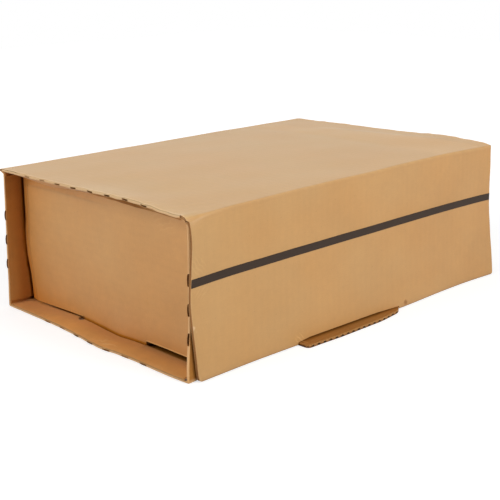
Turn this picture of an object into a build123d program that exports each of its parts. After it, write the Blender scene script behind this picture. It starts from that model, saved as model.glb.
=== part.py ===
"""A closed corrugated shipping box, folded from one sheet of board, with recessed ends.

Row frame: millimetres, +Z up, +X along the box, origin at the middle of the underside.
The closing flap faces -Y. The end that the photograph shows faces -X, and the hidden end is made like it.
"""

import os
from math import asin, cos, degrees, hypot, sin, sqrt

from build123d import *

# Box, over its outside
box_length = 355.0
box_width = 237.0
box_height = 118.5
top_crown = 3.8  # how far the top bows up between its long folds
board = 2.5  # thickness of the corrugated board
fold_inside = 0.4  # inside radius of a long fold

# Folded rims round each end
recess_depth = 20.0  # from the rim to the face of the end panel
return_tail = 14.0  # how far a return flap runs on past that face
rim_nose = 2.2  # thickness of the pinched fold
rim_taper = 10.0  # distance over which the two plies spread to full thickness
corner_gap = 0.8  # between the return flaps where two rims meet
top_rim_start = 8.5  # from the front face to the top rim's fold
near_rim_bow = 5.0  # how far the floor's rim has buckled outwards at the shown end
far_rim_bow = 0.5

# Slits of the cut-crease along each rim
slit_length = 9.0
slit_width = 0.9
slit_depth = 2.6
slit_pitch = 21.0
top_slits = 8  # number of slits along each rim
floor_slits = 7
back_slits = 3
wall_slits = 3
wall_slit_shift = -7.0  # of the row's middle from the rim's

# End panels
panel_fold_inside = 1.1  # inside radius of the panel's side folds
panel_flange = 26.0
panel_gap = 1.3  # open gap beside the back wall
panel_top_gap = 0.5
hinge_start = 72.0  # from the front face to the hinge on the floor
hinge_length = 84.0
thin_slot = 1.0  # height of the slot behind the hinge
wide_slot = 3.0  # height of the slot in front of it
hook_length = 3.2  # nick that ends the thin slot
hook_width = 2.4

# Closing flap, lapped over the inner front wall
lap_gap = 0.4
flap_lean = 2.4  # how far its lower edge stands out
flap_foot = 0.5  # lower edge above the floor
flap_corner = 2.5
flap_knee = 62.0  # height at which its ends turn
flap_near_top = 3.0  # ends of the flap, measured in from the shown rim
flap_near_knee = 1.4
flap_near_foot = 7.0
flap_far_top = 1.4  # ends of the flap, measured in from the far rim
flap_far_knee = 0.2
flap_far_foot = -3.0
inner_wall_gap = 1.4  # under the top panel

# Locating tab cut from the inner front wall and left in the plane of the floor
tab_start = 105.4  # from the shown rim
tab_length = 119.1
tab_reach = 12.8  # past the closing flap's fold
tab_start_corner = 3.0
tab_end_corner = 16.0
tab_clearance = 0.4

# Corrugation, open along the tab's cut edge
flute_pitch = 6.4
liner = 0.3
flute_top_share = 0.75  # width of a flute at its liner, as a share of the pitch
flute_root = 1.2  # width of a flute at its crest
flute_round = 0.4
flute_depth = 9.0

# Tear strip stuck across the closing flap
strip_bottom = 70.5
strip_width = 6.0
strip_thickness = 0.25

fold_radius = fold_inside + board
near_x = -box_length / 2
front_y = -box_width / 2
back_y = box_width / 2
wall_y = front_y + board + lap_gap  # outside of the inner front wall
wrap_end = box_length / 2 - rim_nose / 2
crown_radius = ((box_width / 2) ** 2 + top_crown**2) / (2 * top_crown)
crown_centre_z = box_height + top_crown - crown_radius
recess_front = wall_y + 2 * board  # faces of the return flaps beside the recess
recess_back = back_y - 2 * board


def crown_z(y, depth=0.0):
    """Height of the top panel's arch at y, the given depth under its outside."""
    return crown_centre_z + sqrt((crown_radius - depth) ** 2 - y**2)


fold_top = crown_z(front_y + fold_radius) - fold_radius  # where the closing flap leaves its fold


def box_outline(front_low, front_top, back, floor, top_depth, radius):
    """Face across the box: straight floor and walls under the arched top, with its folds rounded."""
    corners = [
        (front_low, floor),
        (back, floor),
        (back, crown_z(back, top_depth)),
        (front_top, crown_z(front_top, top_depth)),
    ]
    arch = ThreePointArc(corners[2], (0, crown_z(0, top_depth)), corners[3])
    edges = [Line(corners[0], corners[1]), Line(corners[1], corners[2]), arch, Line(corners[3], corners[0])]
    face = make_face(edges)
    if radius > 0:
        rounded = [v for v in face.vertices() if v.Y > floor + board or v.X > 0]
        face = fillet(rounded, radius)
    return face


def board_strip(outside, inside, inside_radius):
    """Face between two lines one board apart, with the fold's two radii."""
    outer = FilletPolyline(*outside, radius=inside_radius + board)
    inner = FilletPolyline(*inside, radius=inside_radius)
    return make_face([outer, Line(outer @ 1, inner @ 1), inner, Line(inner @ 0, outer @ 0)])


def block(x_range, y_range, z_range):
    """Box between three pairs of coordinates."""
    size = [high - low for low, high in (x_range, y_range, z_range)]
    middle = [(high + low) / 2 for low, high in (x_range, y_range, z_range)]
    return Pos(*middle) * Box(*size)


def flap_y(z):
    """Outside of the leaning closing flap at height z."""
    return front_y - flap_lean * (fold_top - z) / fold_top


def make_wrap():
    """Floor, back wall, top and the two plies of the front, as one band round the box."""
    outside = box_outline(front_y, front_y, back_y, 0, 0, fold_radius)
    inside = box_outline(front_y + board, front_y + board, back_y - board, board, board, fold_inside)
    floor_start = wall_y + fold_radius
    open_front = Pos((front_y + floor_start) / 2 - board, fold_top / 2) * Rectangle(
        floor_start - front_y + 2 * board, fold_top
    )
    wall_top = crown_z(wall_y, board) - inner_wall_gap
    inner_wall = board_strip(
        [(wall_y, wall_top), (wall_y, 0), (floor_start + board, 0)],
        [(wall_y + board, wall_top), (wall_y + board, board), (floor_start + board, board)],
        fold_inside,
    )
    band = (outside - inside) - open_front
    section = Plane.YZ * (band + inner_wall)
    return extrude(section, wrap_end, both=True)


def make_flap():
    """Closing flap: a leaning board, its ends cut on a knee, with a notch over the tab."""
    profile = make_face(
        Polyline(
            (flap_y(fold_top), fold_top),
            (flap_y(0), 0),
            (flap_y(0) + board, 0),
            (flap_y(fold_top) + board, fold_top),
            close=True,
        )
    )
    plate = extrude(Plane.YZ * profile, box_length, both=True)
    near_ends = [(flap_near_top, fold_top), (flap_near_knee, flap_knee), (flap_near_foot, flap_foot)]
    far_ends = [(flap_far_foot, flap_foot), (flap_far_knee, flap_knee), (flap_far_top, fold_top)]
    outline = [(near_x + inset, z) for inset, z in near_ends] + [(-near_x - inset, z) for inset, z in far_ends]
    shape = make_face(Polyline(*outline, close=True))
    feet = shape.vertices().group_by(Axis.Y)[0]
    shape = fillet(feet, flap_corner)
    cutter = extrude(Plane.XZ * shape, box_width, both=True)
    notch_x = (near_x + tab_start - tab_clearance, near_x + tab_start + tab_length + tab_clearance)
    notch = block(notch_x, (front_y - tab_reach, wall_y), (-board, board + tab_clearance))
    return (plate & cutter) - notch


def rim_section(length):
    """Two plies across a rim: x runs in from the fold, y from the outside of the box inwards."""
    half = rim_nose / 2
    nose = ThreePointArc((half, rim_nose), (0, half), (half, 0))
    rest = Polyline((half, 0), (length, 0), (length, 2 * board), (rim_taper, 2 * board), (half, rim_nose))
    return make_face([nose, rest])


def slit_places(start, end, count, shift=0.0):
    """Middles of a row of slits, one pitch apart, about the shifted middle of a rim from start to end."""
    first = (start + end) / 2 + shift - slit_pitch * (count - 1) / 2
    return [first + slit_pitch * n for n in range(count)]


def side_rim(outside_y, inward, low, high):
    """Rim of an upright wall; inward is the sign of Y that points into the box."""
    start = low if inward > 0 else high
    plane = Plane((near_x, outside_y, start), x_dir=(1, 0, 0), z_dir=(0, 0, inward))
    return extrude(plane * rim_section(recess_depth + return_tail), high - low)


def top_rim(start, end):
    """Rim of the arched top: the same section turned about the arch's centre."""
    first, last = (asin(y / crown_radius) for y in (start, end))
    origin = (near_x, crown_radius * sin(first), crown_centre_z + crown_radius * cos(first))
    plane = Plane(origin, x_dir=(1, 0, 0), z_dir=(0, cos(first), -sin(first)))
    axis = Axis((0, 0, crown_centre_z), (-1, 0, 0))
    return revolve(plane * rim_section(recess_depth + return_tail), axis, degrees(last - first))


def bow_circle(start, end, bow):
    """Radius and centre of the arc that stands out by bow between start and end."""
    radius = (((end - start) / 2) ** 2 + bow**2) / (2 * bow)
    return radius, (near_x - bow + radius, (start + end) / 2)


def bowed_rim(start, end, bow):
    """Floor's rim buckled outwards: the section turned about a far upright line."""
    radius, centre = bow_circle(start, end, bow)
    turn = asin((end - centre[1]) / radius)
    origin = (centre[0] - radius * cos(turn), end, 0)
    plane = Plane(origin, x_dir=(cos(turn), -sin(turn), 0), z_dir=(-sin(turn), -cos(turn), 0))
    axis = Axis((*centre, 0), (0, 0, 1))
    return revolve(plane * rim_section(rim_taper + bow + board), axis, degrees(2 * turn))


def make_slits(top_span, floor_span, bow, back_span, wall_span):
    """Slits of the cut-crease, in the nose of each rim."""
    middle = rim_nose / 2
    level_slit = Box(2 * slit_depth, slit_length, slit_width)
    upright_slit = Box(2 * slit_depth, slit_width, slit_length)
    slits = []
    for y in slit_places(*top_span, top_slits):
        tilt = Rot(X=-degrees(asin(y / crown_radius)))
        slits.append(Pos(near_x, y, crown_z(y, middle)) * tilt * level_slit)
    radius, centre = bow_circle(*floor_span, bow)
    for y in slit_places(*floor_span, floor_slits):
        turn = asin((y - centre[1]) / radius)
        slits.append(Pos(centre[0] - radius * cos(turn), y, middle) * Rot(Z=-degrees(turn)) * level_slit)
    for z in slit_places(*back_span, back_slits):
        slits.append(Pos(near_x, back_y - middle, z) * upright_slit)
    for z in slit_places(*wall_span, wall_slits, wall_slit_shift):
        slits.append(Pos(near_x, wall_y + middle, z) * upright_slit)
    return slits


def make_panel():
    """End panel with its two side flanges, under the arch of the top."""
    panel_x = near_x + recess_depth
    flange_x = panel_x + panel_flange
    front, back = recess_front, recess_back - panel_gap
    outside = [(flange_x, front), (panel_x, front), (panel_x, back), (flange_x, back)]
    inside = [
        (flange_x, front + board),
        (panel_x + board, front + board),
        (panel_x + board, back - board),
        (flange_x, back - board),
    ]
    panel = extrude(Pos(0, 0, 1.5 * board) * board_strip(outside, inside, panel_fold_inside), box_height)
    under_top = Plane.YZ * box_outline(front, front, back, board, 2 * board + panel_top_gap, 0)
    return panel & extrude(under_top, box_length, both=True)


def make_end(bow):
    """Folded rims and hinged end panel of the end at -X, and the slits to be cut in it."""
    floor_span = (recess_front + corner_gap, recess_back - corner_gap)
    top_span = (front_y + top_rim_start, recess_back - corner_gap)
    side_low = 2 * board + corner_gap
    back_span = (side_low, crown_z(back_y, 2 * board) - corner_gap)
    wall_span = (side_low, crown_z(wall_y, 2 * board) - corner_gap)
    floor_return = block((near_x + rim_taper, near_x + recess_depth + board), floor_span, (0, 2 * board))
    end = side_rim(back_y, -1, *back_span) + side_rim(wall_y, 1, *wall_span) + top_rim(*top_span)
    end += bowed_rim(*floor_span, bow) + floor_return + make_panel()

    panel_x = near_x + recess_depth
    slot_x = (panel_x, panel_x + panel_flange + board)
    hinge = (front_y + hinge_start, front_y + hinge_start + hinge_length)
    slots = [
        block(slot_x, (recess_front, hinge[0]), (board, 2 * board + wide_slot)),
        block(slot_x, (hinge[1], recess_back), (board, 2 * board + thin_slot)),
        block((panel_x - hook_length, panel_x), (hinge[1], hinge[1] + hook_width), (board, 3 * board)),
    ]
    return end - slots, make_slits(top_span, floor_span, bow, back_span, wall_span)


def tab_outline(edge, root):
    """Plan of the tab: the corner at its far end is well rounded."""
    start = near_x + tab_start
    end = start + tab_length
    shape = make_face(Polyline((start, root), (end, root), (end, edge), (start, edge), close=True))
    outer = shape.vertices().group_by(Axis.Y)[0].sort_by(Axis.X)
    shape = fillet(outer[0], tab_start_corner)
    outer = shape.vertices().group_by(Axis.Y)[0].sort_by(Axis.X)
    return fillet(outer[-1], tab_end_corner)


def make_tab():
    """Tab in the plane of the floor."""
    return extrude(tab_outline(front_y - tab_reach, wall_y + fold_radius + board), board)


def make_window():
    """Opening that the tab leaves in the inner front wall: the tab's outline stood up from the fold."""
    reach = wall_y - front_y + tab_reach
    stood_up = Plane((0, wall_y - lap_gap / 2, 0), x_dir=(1, 0, 0), z_dir=(0, 1, 0))
    return extrude(stood_up * tab_outline(-reach, board), fold_radius)


def make_flutes():
    """Open channels of the corrugation, one above and one below the wave in each pitch."""
    top = board - liner
    bottom = liner
    rise = top - bottom - liner
    half_mouth = flute_pitch * flute_top_share / 2
    half_root = flute_root / 2
    channels = []
    count = int((tab_length - 2 * flute_pitch) / flute_pitch)
    first = near_x + tab_start + (tab_length - flute_pitch * count) / 2
    for n in range(count):
        for offset, base, sign in ((0.25, top, -1), (0.75, bottom, 1)):
            x = first + flute_pitch * (n + offset)
            face = make_face(
                Polyline(
                    (x - half_mouth, base),
                    (x - half_root, base + sign * rise),
                    (x + half_root, base + sign * rise),
                    (x + half_mouth, base),
                    close=True,
                )
            )
            crests = [v for v in face.vertices() if abs(v.Y - base) > rise / 2]
            face = fillet(crests, flute_round)
            mouth = Plane((0, front_y - tab_reach, 0), x_dir=(1, 0, 0), z_dir=(0, -1, 0))
            channels.append(extrude(mouth * face, -flute_depth))
    return channels


def make_board():
    """The whole folded sheet."""
    near_end, near_slits = make_end(near_rim_bow)
    far_end, far_slits = make_end(far_rim_bow)
    sheet = make_wrap() + make_flap() + near_end + mirror(far_end, Plane.YZ)
    sheet -= make_window()
    sheet += make_tab()
    cuts = near_slits + [mirror(slit, Plane.YZ) for slit in far_slits] + make_flutes()
    return sheet - cuts


def flap_inset(z, knee, top):
    """How far the flap's end lies in from the rim at height z, above the knee."""
    return knee + (top - knee) * (z - flap_knee) / (fold_top - flap_knee)


def make_strip():
    """Tear strip lying on the closing flap from end to end."""
    low, high = strip_bottom, strip_bottom + strip_width
    stand = strip_thickness * hypot(fold_top, flap_lean) / fold_top
    corners = [(flap_y(low), low), (flap_y(high), high), (flap_y(high) - stand, high), (flap_y(low) - stand, low)]
    band = extrude(Plane.YZ * make_face(Polyline(*corners, close=True)), box_length, both=True)
    near = [(near_x + flap_inset(z, flap_near_knee, flap_near_top), z) for z in (low, high)]
    far = [(-near_x - flap_inset(z, flap_far_knee, flap_far_top), z) for z in (high, low)]
    shape = Plane.XZ * make_face(Polyline(*near, *far, close=True))
    return band & extrude(shape, box_width, both=True)


os.makedirs("parts", exist_ok=True)
for name, shape in (("folded_board", make_board()), ("tear_strip", make_strip())):
    print(name, "solids", len(shape.solids()), "volume", round(shape.volume), shape.bounding_box())
    export_step(shape, f"parts/{name}.step")
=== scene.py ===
from math import cos, pi, radians, sin

import bmesh
import bpy
import numpy as np
from mathutils import Matrix, Vector


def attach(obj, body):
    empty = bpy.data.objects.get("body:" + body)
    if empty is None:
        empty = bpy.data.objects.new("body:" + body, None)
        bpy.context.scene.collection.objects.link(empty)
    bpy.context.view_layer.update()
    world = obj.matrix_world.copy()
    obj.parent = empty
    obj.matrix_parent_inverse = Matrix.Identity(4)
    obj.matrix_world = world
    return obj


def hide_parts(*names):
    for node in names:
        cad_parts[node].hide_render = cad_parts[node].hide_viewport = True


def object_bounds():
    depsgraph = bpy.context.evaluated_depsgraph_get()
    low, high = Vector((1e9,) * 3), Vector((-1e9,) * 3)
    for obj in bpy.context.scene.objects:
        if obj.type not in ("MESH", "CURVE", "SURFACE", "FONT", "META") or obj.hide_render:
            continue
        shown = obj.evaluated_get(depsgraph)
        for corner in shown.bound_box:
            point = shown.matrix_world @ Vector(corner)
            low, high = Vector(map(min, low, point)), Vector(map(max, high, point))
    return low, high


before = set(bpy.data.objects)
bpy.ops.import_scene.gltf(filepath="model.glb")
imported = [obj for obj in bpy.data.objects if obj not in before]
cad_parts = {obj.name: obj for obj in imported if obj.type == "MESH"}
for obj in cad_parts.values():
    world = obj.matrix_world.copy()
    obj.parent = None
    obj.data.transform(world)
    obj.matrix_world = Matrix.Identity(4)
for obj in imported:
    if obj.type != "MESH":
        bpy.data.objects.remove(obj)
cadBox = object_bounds()
print("frame loaded:", len(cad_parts), "nodes")

# All shapes are worked out in millimetres on the sheet's own axes:
# x runs from the shown rim, y from the closing flap's fold, z from the floor.
sheet = {
    "length": 355.0,
    "width": 237.0,
    "height": 118.5,
    "board": 2.5,
    "foldRadius": 2.9,
    "wallFront": 2.9,  # outside of the inner front wall
    "wallTop": 114.8,
    "flapFoot": 0.5,
}
flute = {
    "pitch": 6.4,
    "liner": 0.3,  # thickness of one liner
    "crushed": 1.75,  # underside of the tab's upper layer
    "arch": 1.4,  # height of the open flutes
    "recess": 0.6,  # how far the core lies back in an edge across the flutes
    "sideRecess": 0.25,  # and in an edge along them
}
tiny = 0.02  # half the distance between the two rows of an abrupt step


def ease(t):
    # smooth step: 3t squared less 2t cubed, with t held between 0 and 1
    t = np.clip(t, 0.0, 1.0)
    return t * t * (3 - 2 * t)


def between(t, span):
    # eases up from the span's first place to its second and down from its third to its fourth
    rise, full, fall, end = span
    return ease((t - rise) / (full - rise)) * (1 - ease((t - fall) / (end - fall)))


def bell(t, middle, spread):
    # e to the power of minus the square of the distance from the middle, in spreads
    return np.exp(-(((t - middle) / spread) ** 2))


def fade(t, reach):
    # e to the power of minus the distance, in reaches, and one where the distance is below nought
    return np.exp(-np.maximum(t, 0) / reach)


def through(knots, t):
    # smooth curve through given (place, value) pairs: cubic pieces with slopes from their neighbours
    place, value = np.array(knots, float).T
    slope = np.gradient(value, place)
    i = np.clip(np.searchsorted(place, t) - 1, 0, len(place) - 2)
    step = place[i + 1] - place[i]
    u = np.clip((t - place[i]) / step, 0, 1)
    start = (2 * u**3 - 3 * u**2 + 1) * value[i] + (u**3 - 2 * u**2 + u) * step * slope[i]
    end = (3 * u**2 - 2 * u**3) * value[i + 1] + (u**3 - u**2) * step * slope[i + 1]
    return start + end


def ripple(a, b):
    # four crossing sine waves, between about -1 and 1
    waves = np.sin(a / 19.0 + b / 31.0 + 0.7) + np.sin(a / 41.0 - b / 13.0 + 2.1)
    return 0.3 * (waves + np.sin(a / 9.7 + b / 23.0 + 4.0) + np.sin(a / 29.0 + b / 7.9 + 1.3))


def painted(paint, masks):
    # tone and warmth: for each, the sum of every painted place's value times its mask
    return [sum(paint[name][i] * mask for name, mask in masks.items()) for i in (0, 1)]


# How the real sheet has settled. Lists are given (place, value) pairs; a span is where a form starts,
# is full, starts to fade and has ended.
settled = {
    "crown": 2.2,
    "crownReach": 90.0,
    "foldLift": [(0, -0.6), (34, 1.3), (62, 1.9), (102, 2.3), (193, 2.1), (244, 2.5), (299, 2.2), (355, 1.0)],
    "nearLift": [(0, 0.6), (14, 0.5), (31, 1.2), (50, 2.4), (67, 3.0), (87, 2.7), (108, 2.2), (130, 1.7),
                 (150, 1.3), (175, 0.8), (200, 0.9), (222, 0.6), (237, -0.2)],
    "farLift": [(0, 0.6), (13, 2.3), (34, 3.1), (47, 3.6), (67, 3.0), (102, 1.6), (165, 0.9), (219, -0.2),
                (237, -0.5)],
    "nearSpread": 20.0,
    "farSpread": 28.0,
    "topWaves": 0.22,
    "creaseAt": 279.0,  # x of the shallow crease across the top
    "creaseDepth": 0.5,
    "creaseWidth": 4.0,
    "creaseSpan": (25, 85, 205, 230),
    "ridge": [(20, 341), (36, 338), (96, 328), (155, 317), (237, 303)],  # x over the far return, by y
    "ridgeHeight": 1.3,
    "ridgeFall": 8.0,
    "ridgeSpan": (22, 42, 150, 180),
    "floorBow": [(0, 1.3), (21, 2.3), (67, 2.3), (88, 3.5), (99.5, 4.8), (116, 3.9), (129, 2.7), (160, 0.4),
                 (190, 0), (237, 0)],
    "bowReach": 40.0,  # how far the bow fades inwards, past the recess
    "bowFrom": 4.0,  # height from which it fades
    "bowHeight": 34.0,
    "backLean": 7.5,
    "leanReach": 20.0,
    "leanTop": 115.5,
    "flapOut": [(0, 1.2), (25, 0.6), (55, 0.3), (85, 0.8), (150, 2.3), (238, 4.1), (282, 3.0), (326, 3.6),
                (358, 5.7)],
    "flapHinge": 69.0,  # height of the line at the tear strip where the flap starts to stand out
    "flapCurve": 1.15,
    "flapWaves": 0.16,
    "flapWavesTop": 112.0,
    "flapTop": 114.0,
    "flapNearEnd": [(0, 7.0), (21, 4.4), (39, 1.9), (62, 0.6), (83, 2.3), (102, 3.4), (114, 2.6)],
    "flapFarEnd": [(0, -2.9), (21, -2.2), (39, -1.0), (62, 0.2), (83, 0.7), (114, 1.4)],
    "wallNearEnd": [(0, 0.2), (20, 0.5), (38, 1.2), (56, 1.9), (80, 2.5), (100, 2.9), (114, 2.9)],
    "endReach": 60.0,  # distance from an end in which its columns follow it
    "flapCorner": 2.5,
    "endRound": 7.5,  # radius to which the top's front fold opens at the shown end
    "endRoundReach": 17.0,
    "returnPinch": 2.6,  # how much thinner the floor's return is at the back corner
    "pinchFrom": 140.0,
    "pinchReach": 85.0,
    "topDroop": 2.6,  # how far the top's return hangs off its panel near the back
    "droopAt": (178.0, 32.0),  # its middle and its spread, by y
    "droopSpan": (1, 9, 15, 24),
    "topSag": [(0, 0.2), (12, 0.8), (30, 1.0), (48, 1.7), (64, 2.3), (80, 1.7), (100, 1.0), (130, 0.4),
               (160, 0)],
    "mostSag": 2.3,
    "sagSpan": (1, 4.6, 7, 14),
    "ragged": 0.35,
    "raggedReach": 5.0,
}


def topLift(x, y):
    # the panel's crown, the front fold's lift, a crease and a ridge, and near each end the rim's own line
    v = np.clip(y / sheet["width"], 0, 1)
    middle = settled["crown"] * np.sin(pi * v) * ease(x / settled["crownReach"])
    middle = middle + through(settled["foldLift"], x) * (1 - v) ** 2 + settled["topWaves"] * ripple(x, y)
    start, ridge = settled["creaseAt"], through(settled["ridge"], y)
    crease = settled["creaseDepth"] * bell(x, start, settled["creaseWidth"])
    raised = settled["ridgeHeight"] * between(x, (start, ridge, ridge, ridge + settled["ridgeFall"]))
    middle = middle - crease * between(y, settled["creaseSpan"]) + raised * between(y, settled["ridgeSpan"])
    near = bell(np.maximum(x, 0), 0, settled["nearSpread"])
    far = bell(np.maximum(sheet["length"] - x, 0), 0, settled["farSpread"])
    rims = through(settled["nearLift"], y) * near + through(settled["farLift"], y) * far
    return middle * (1 - near) * (1 - far) + rims


def flapOutward(x, z):
    # the flap stands out below its hinge line by an amount that changes along the box
    turn = np.clip(1 - z / settled["flapHinge"], 0, 1)
    waves = settled["flapWaves"] * (ripple(x, z) + 0.8) * ease((settled["flapWavesTop"] - z) / 20.0)
    return through(settled["flapOut"], x) * turn ** settled["flapCurve"] + waves


def openCorner(x, y, z):
    # near the shown end the top's front fold opens: its square corner is drawn in to a quarter circle
    radius = settled["endRound"]
    a, b = radius - y, z - sheet["height"] + radius
    inCorner = (a > 0) & (b > 0)
    length = np.hypot(a, b) + 1e-9
    scale = np.maximum(a, b) / length
    share = (1 - ease(x / settled["endRoundReach"])) * inCorner * (1 - scale)
    return y + a * share, z - b * share


def settle(x, y, z, isBack, isFlap):
    # moves the points of the true box to where the settled sheet has them: the floor's rim bows out,
    # the back leans in, the flap stands out, the top lifts and the rims are a little ragged
    y, z = openCorner(x, y, z)
    fullHeight, leanTop = sheet["height"], settled["leanTop"]
    upward = np.clip(z / fullHeight, 0, 1) ** 3
    bow = through(settled["floorBow"], y) * (1 - ease((x - rim["recess"]) / settled["bowReach"]))
    bow = bow * (1 - ease((z - settled["bowFrom"]) / settled["bowHeight"]))
    height = np.where(z < leanTop, z / leanTop, (fullHeight - z) / (fullHeight - leanTop))
    lean = settled["backLean"] * np.clip(1 - x / settled["leanReach"], 0, 1) ** 1.3 * np.clip(height, 0, 1)
    ragged = settled["ragged"] * fade(np.minimum(x, sheet["length"] - x), settled["raggedReach"])
    ragged = ragged * ripple(3.1 * (y + z), 2.3 * (y - z))
    outward = lean * isBack + flapOutward(x, z) * isFlap
    return x - bow + 0.6 * ragged, y - outward, z + (topLift(x, y) + ragged) * upward


def pinch(y):
    # how much thinner the floor's return is, easing up towards the back corner
    return settled["returnPinch"] * ease((y - settled["pinchFrom"]) / settled["pinchReach"])


rim = {
    "noseRadius": 1.1,
    "taper": 10.0,
    "tail": 34.0,  # length of a return flap
    "hingeTail": 22.4,  # length of the floor's return at the end panel's hinge
    "recess": 20.0,  # from the rim to the end panel
    "cornerGap": 0.35,
    "topStart": 8.5,  # where the top's rim starts, from the flap's fold
    "rowStep": 5.0,
    "slitLength": 9.0,
    "slitDepth": 2.2,
    "slitPitch": 21.0,
    "closedLip": 40.0,  # half of a closed slit's width on the nose, in degrees
    "proud": 0.55,  # how far a slit's lips stand out
    # how far each slit of a row gapes, how far the row is shifted and turned round the nose,
    # half the width of its open slits in degrees, and the share of a slit's length that gapes
    "slits": {
        "wall": {"gapes": (1.5, 1.6, 1.7), "shift": -6.2, "turn": -15.0, "lip": 55.0, "share": 1.0},
        "floor": {"gapes": (0.6, 0.15, 0.5, 0.8, 0.8, 0.15, 0.3), "shift": -5.0, "turn": -10.0, "lip": 40.0,
                  "share": 0.85},
        "back": {"gapes": (1.5, 1.5, 1.5), "shift": 0.0, "turn": 26.0, "lip": 40.0, "share": 0.9},
        "top": {"gapes": (0.7, 0.7, 1.0, 1.1, 0.8, 0.5, 0.12, 0.04), "shift": 0.0, "turn": 12.0, "lip": 40.0,
                "share": 0.72},
    },
    "plainRow": {"gapes": (), "shift": 0.0, "share": 1.0},
}


def straightRun(side, start, end, rimSpan=(), breaks=()):
    # points from start to end, the outside to the right of the way along: even places apart from the slits,
    # a pair at each end of the rim and at each break, and nine at each slit, which gapes as half an ellipse
    start, end = np.array(start), np.array(end)
    axis = np.argmax(np.abs(end - start))
    length = abs(end - start)[axis]
    way = (end - start) / length
    row = rim["slits"].get(side, rim["plainRow"])
    half, count = rim["slitLength"] / 2 * row["share"], len(row["gapes"])
    slits = sum(rimSpan) / 2 + row["shift"] + rim["slitPitch"] * (np.arange(count) - (count - 1) / 2)
    slits, edges = np.abs(slits - start[axis]), np.abs(np.array([*rimSpan, *breaks]) - start[axis])
    even = np.linspace(0, length, round(length / rim["rowStep"]) + 1)
    even = even[(np.abs(even[:, None] - slits) >= half).all(1)]
    nine = half * np.array([-1.02, -0.93, -0.72, -0.38, 0, 0.38, 0.72, 0.93, 1.02])
    ends = [0.4, 1.3, length - 1.3, length - 0.4]
    t = np.concatenate([even, ends, edges - tiny, edges + tiny, (slits[:, None] + nine).ravel()])
    t = np.unique(np.round(t, 3))
    onRim = (t > min(edges[:2])) & (t < max(edges[:2])) if rimSpan else t < 0
    away = (t[:, None] - slits) / half
    opened = (np.array(row["gapes"]) * np.clip(1 - away**2, 0, 1) ** 0.5).max(1, initial=0)
    normal = np.tile([way[1], -way[0]], (len(t), 1))
    return start + t[:, None] * way, normal, t, length, onRim, opened


def foldRun(centre, first, last, count):
    # points on a quarter circle of the outside of a fold
    radius = sheet["foldRadius"]
    angle = np.radians(np.linspace(first, last, count + 2)[1:-1])
    normal = np.stack([np.cos(angle), np.sin(angle)], 1)
    t = (angle - radians(first)) * radius
    return centre + radius * normal, normal, t, radius * radians(last - first), t < 0, 0 * t


def wrapRows():
    # the girth of the sheet: inner front wall, floor, back wall, top and closing flap, with its four folds
    r, low = sheet["foldRadius"], 2 * sheet["board"] + rim["cornerGap"]
    width, height, front = sheet["width"], sheet["height"], sheet["wallFront"]
    hinge = (panel["hingeStart"], panel["hingeEnd"], panel["hingeEnd"] + panel["hookWidth"])
    runs = {
        "wall": straightRun("wall", (front, sheet["wallTop"]), (front, r), (low, height - low)),
        "floorFold": foldRun((front + r, r), 180, 270, 4),
        "floor": straightRun("floor", (front + r, 0), (width - r, 0), (front + low, width - low), hinge),
        "backFold": foldRun((width - r, r), 270, 360, 4),
        "back": straightRun("back", (width, r), (width, height - r), (low, height - low)),
        "topFold": foldRun((width - r, height - r), 0, 90, 5),
        "top": straightRun("top", (width - r, height), (r, height), (rim["topStart"], width - low)),
        "frontFold": foldRun((r, height - r), 90, 180, 6),
        "flap": straightRun("flap", (0, height - r), (0, sheet["flapFoot"])),
    }
    parts, girth = [], 0.0
    for side, (place, normal, t, length, onRim, opened) in runs.items():
        parts.append({"y": place[:, 0], "z": place[:, 1], "normalY": normal[:, 0], "normalZ": normal[:, 1],
                      "girth": girth + t, "side": np.full(len(t), side), "onRim": onRim, "opened": opened})
        girth += length
    rows = withCaps({name: np.concatenate([part[name] for part in parts]) for name in parts[0]})
    inward = np.where(np.arange(len(rows["y"])) < 3, 1.0, -1.0)[:, None] * rows["drawnIn"]
    rows["y"] = rows["y"] - rows["normalZ"] * inward
    rows["z"] = rows["z"] + rows["normalY"] * inward
    rows["foldShare"] = np.clip(1 - rows["normalZ"], 0, 1)
    pinched = np.isin(rows["side"], ("floorFold", "floor", "backFold", "back", "topFold"))
    rows["isFolded"] = rows["onRim"] | pinched | ((rows["side"] == "wall") & (rows["z"] < 8.0))
    return rows


def withCaps(rows):
    # each value as a column, with the first and the last row repeated three times to close the raw edges:
    # the outermost rows stand at the board's middle and the next two at its liners
    count = len(rows["girth"])
    pick = np.concatenate([[0] * 3, np.arange(count), [count - 1] * 3])
    rows = {name: values[pick][:, None] for name, values in rows.items()}
    rows["capDepth"], rows["drawnIn"] = np.zeros((count + 6, 1)), np.zeros((count + 6, 1))
    rows["capDepth"][[0, -1]] = sheet["board"] / 2
    rows["capDepth"][[1, 2, -2, -3]] = flute["liner"]
    rows["drawnIn"][[0, 1, -2, -1]] = flute["recess"]
    return rows


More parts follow.
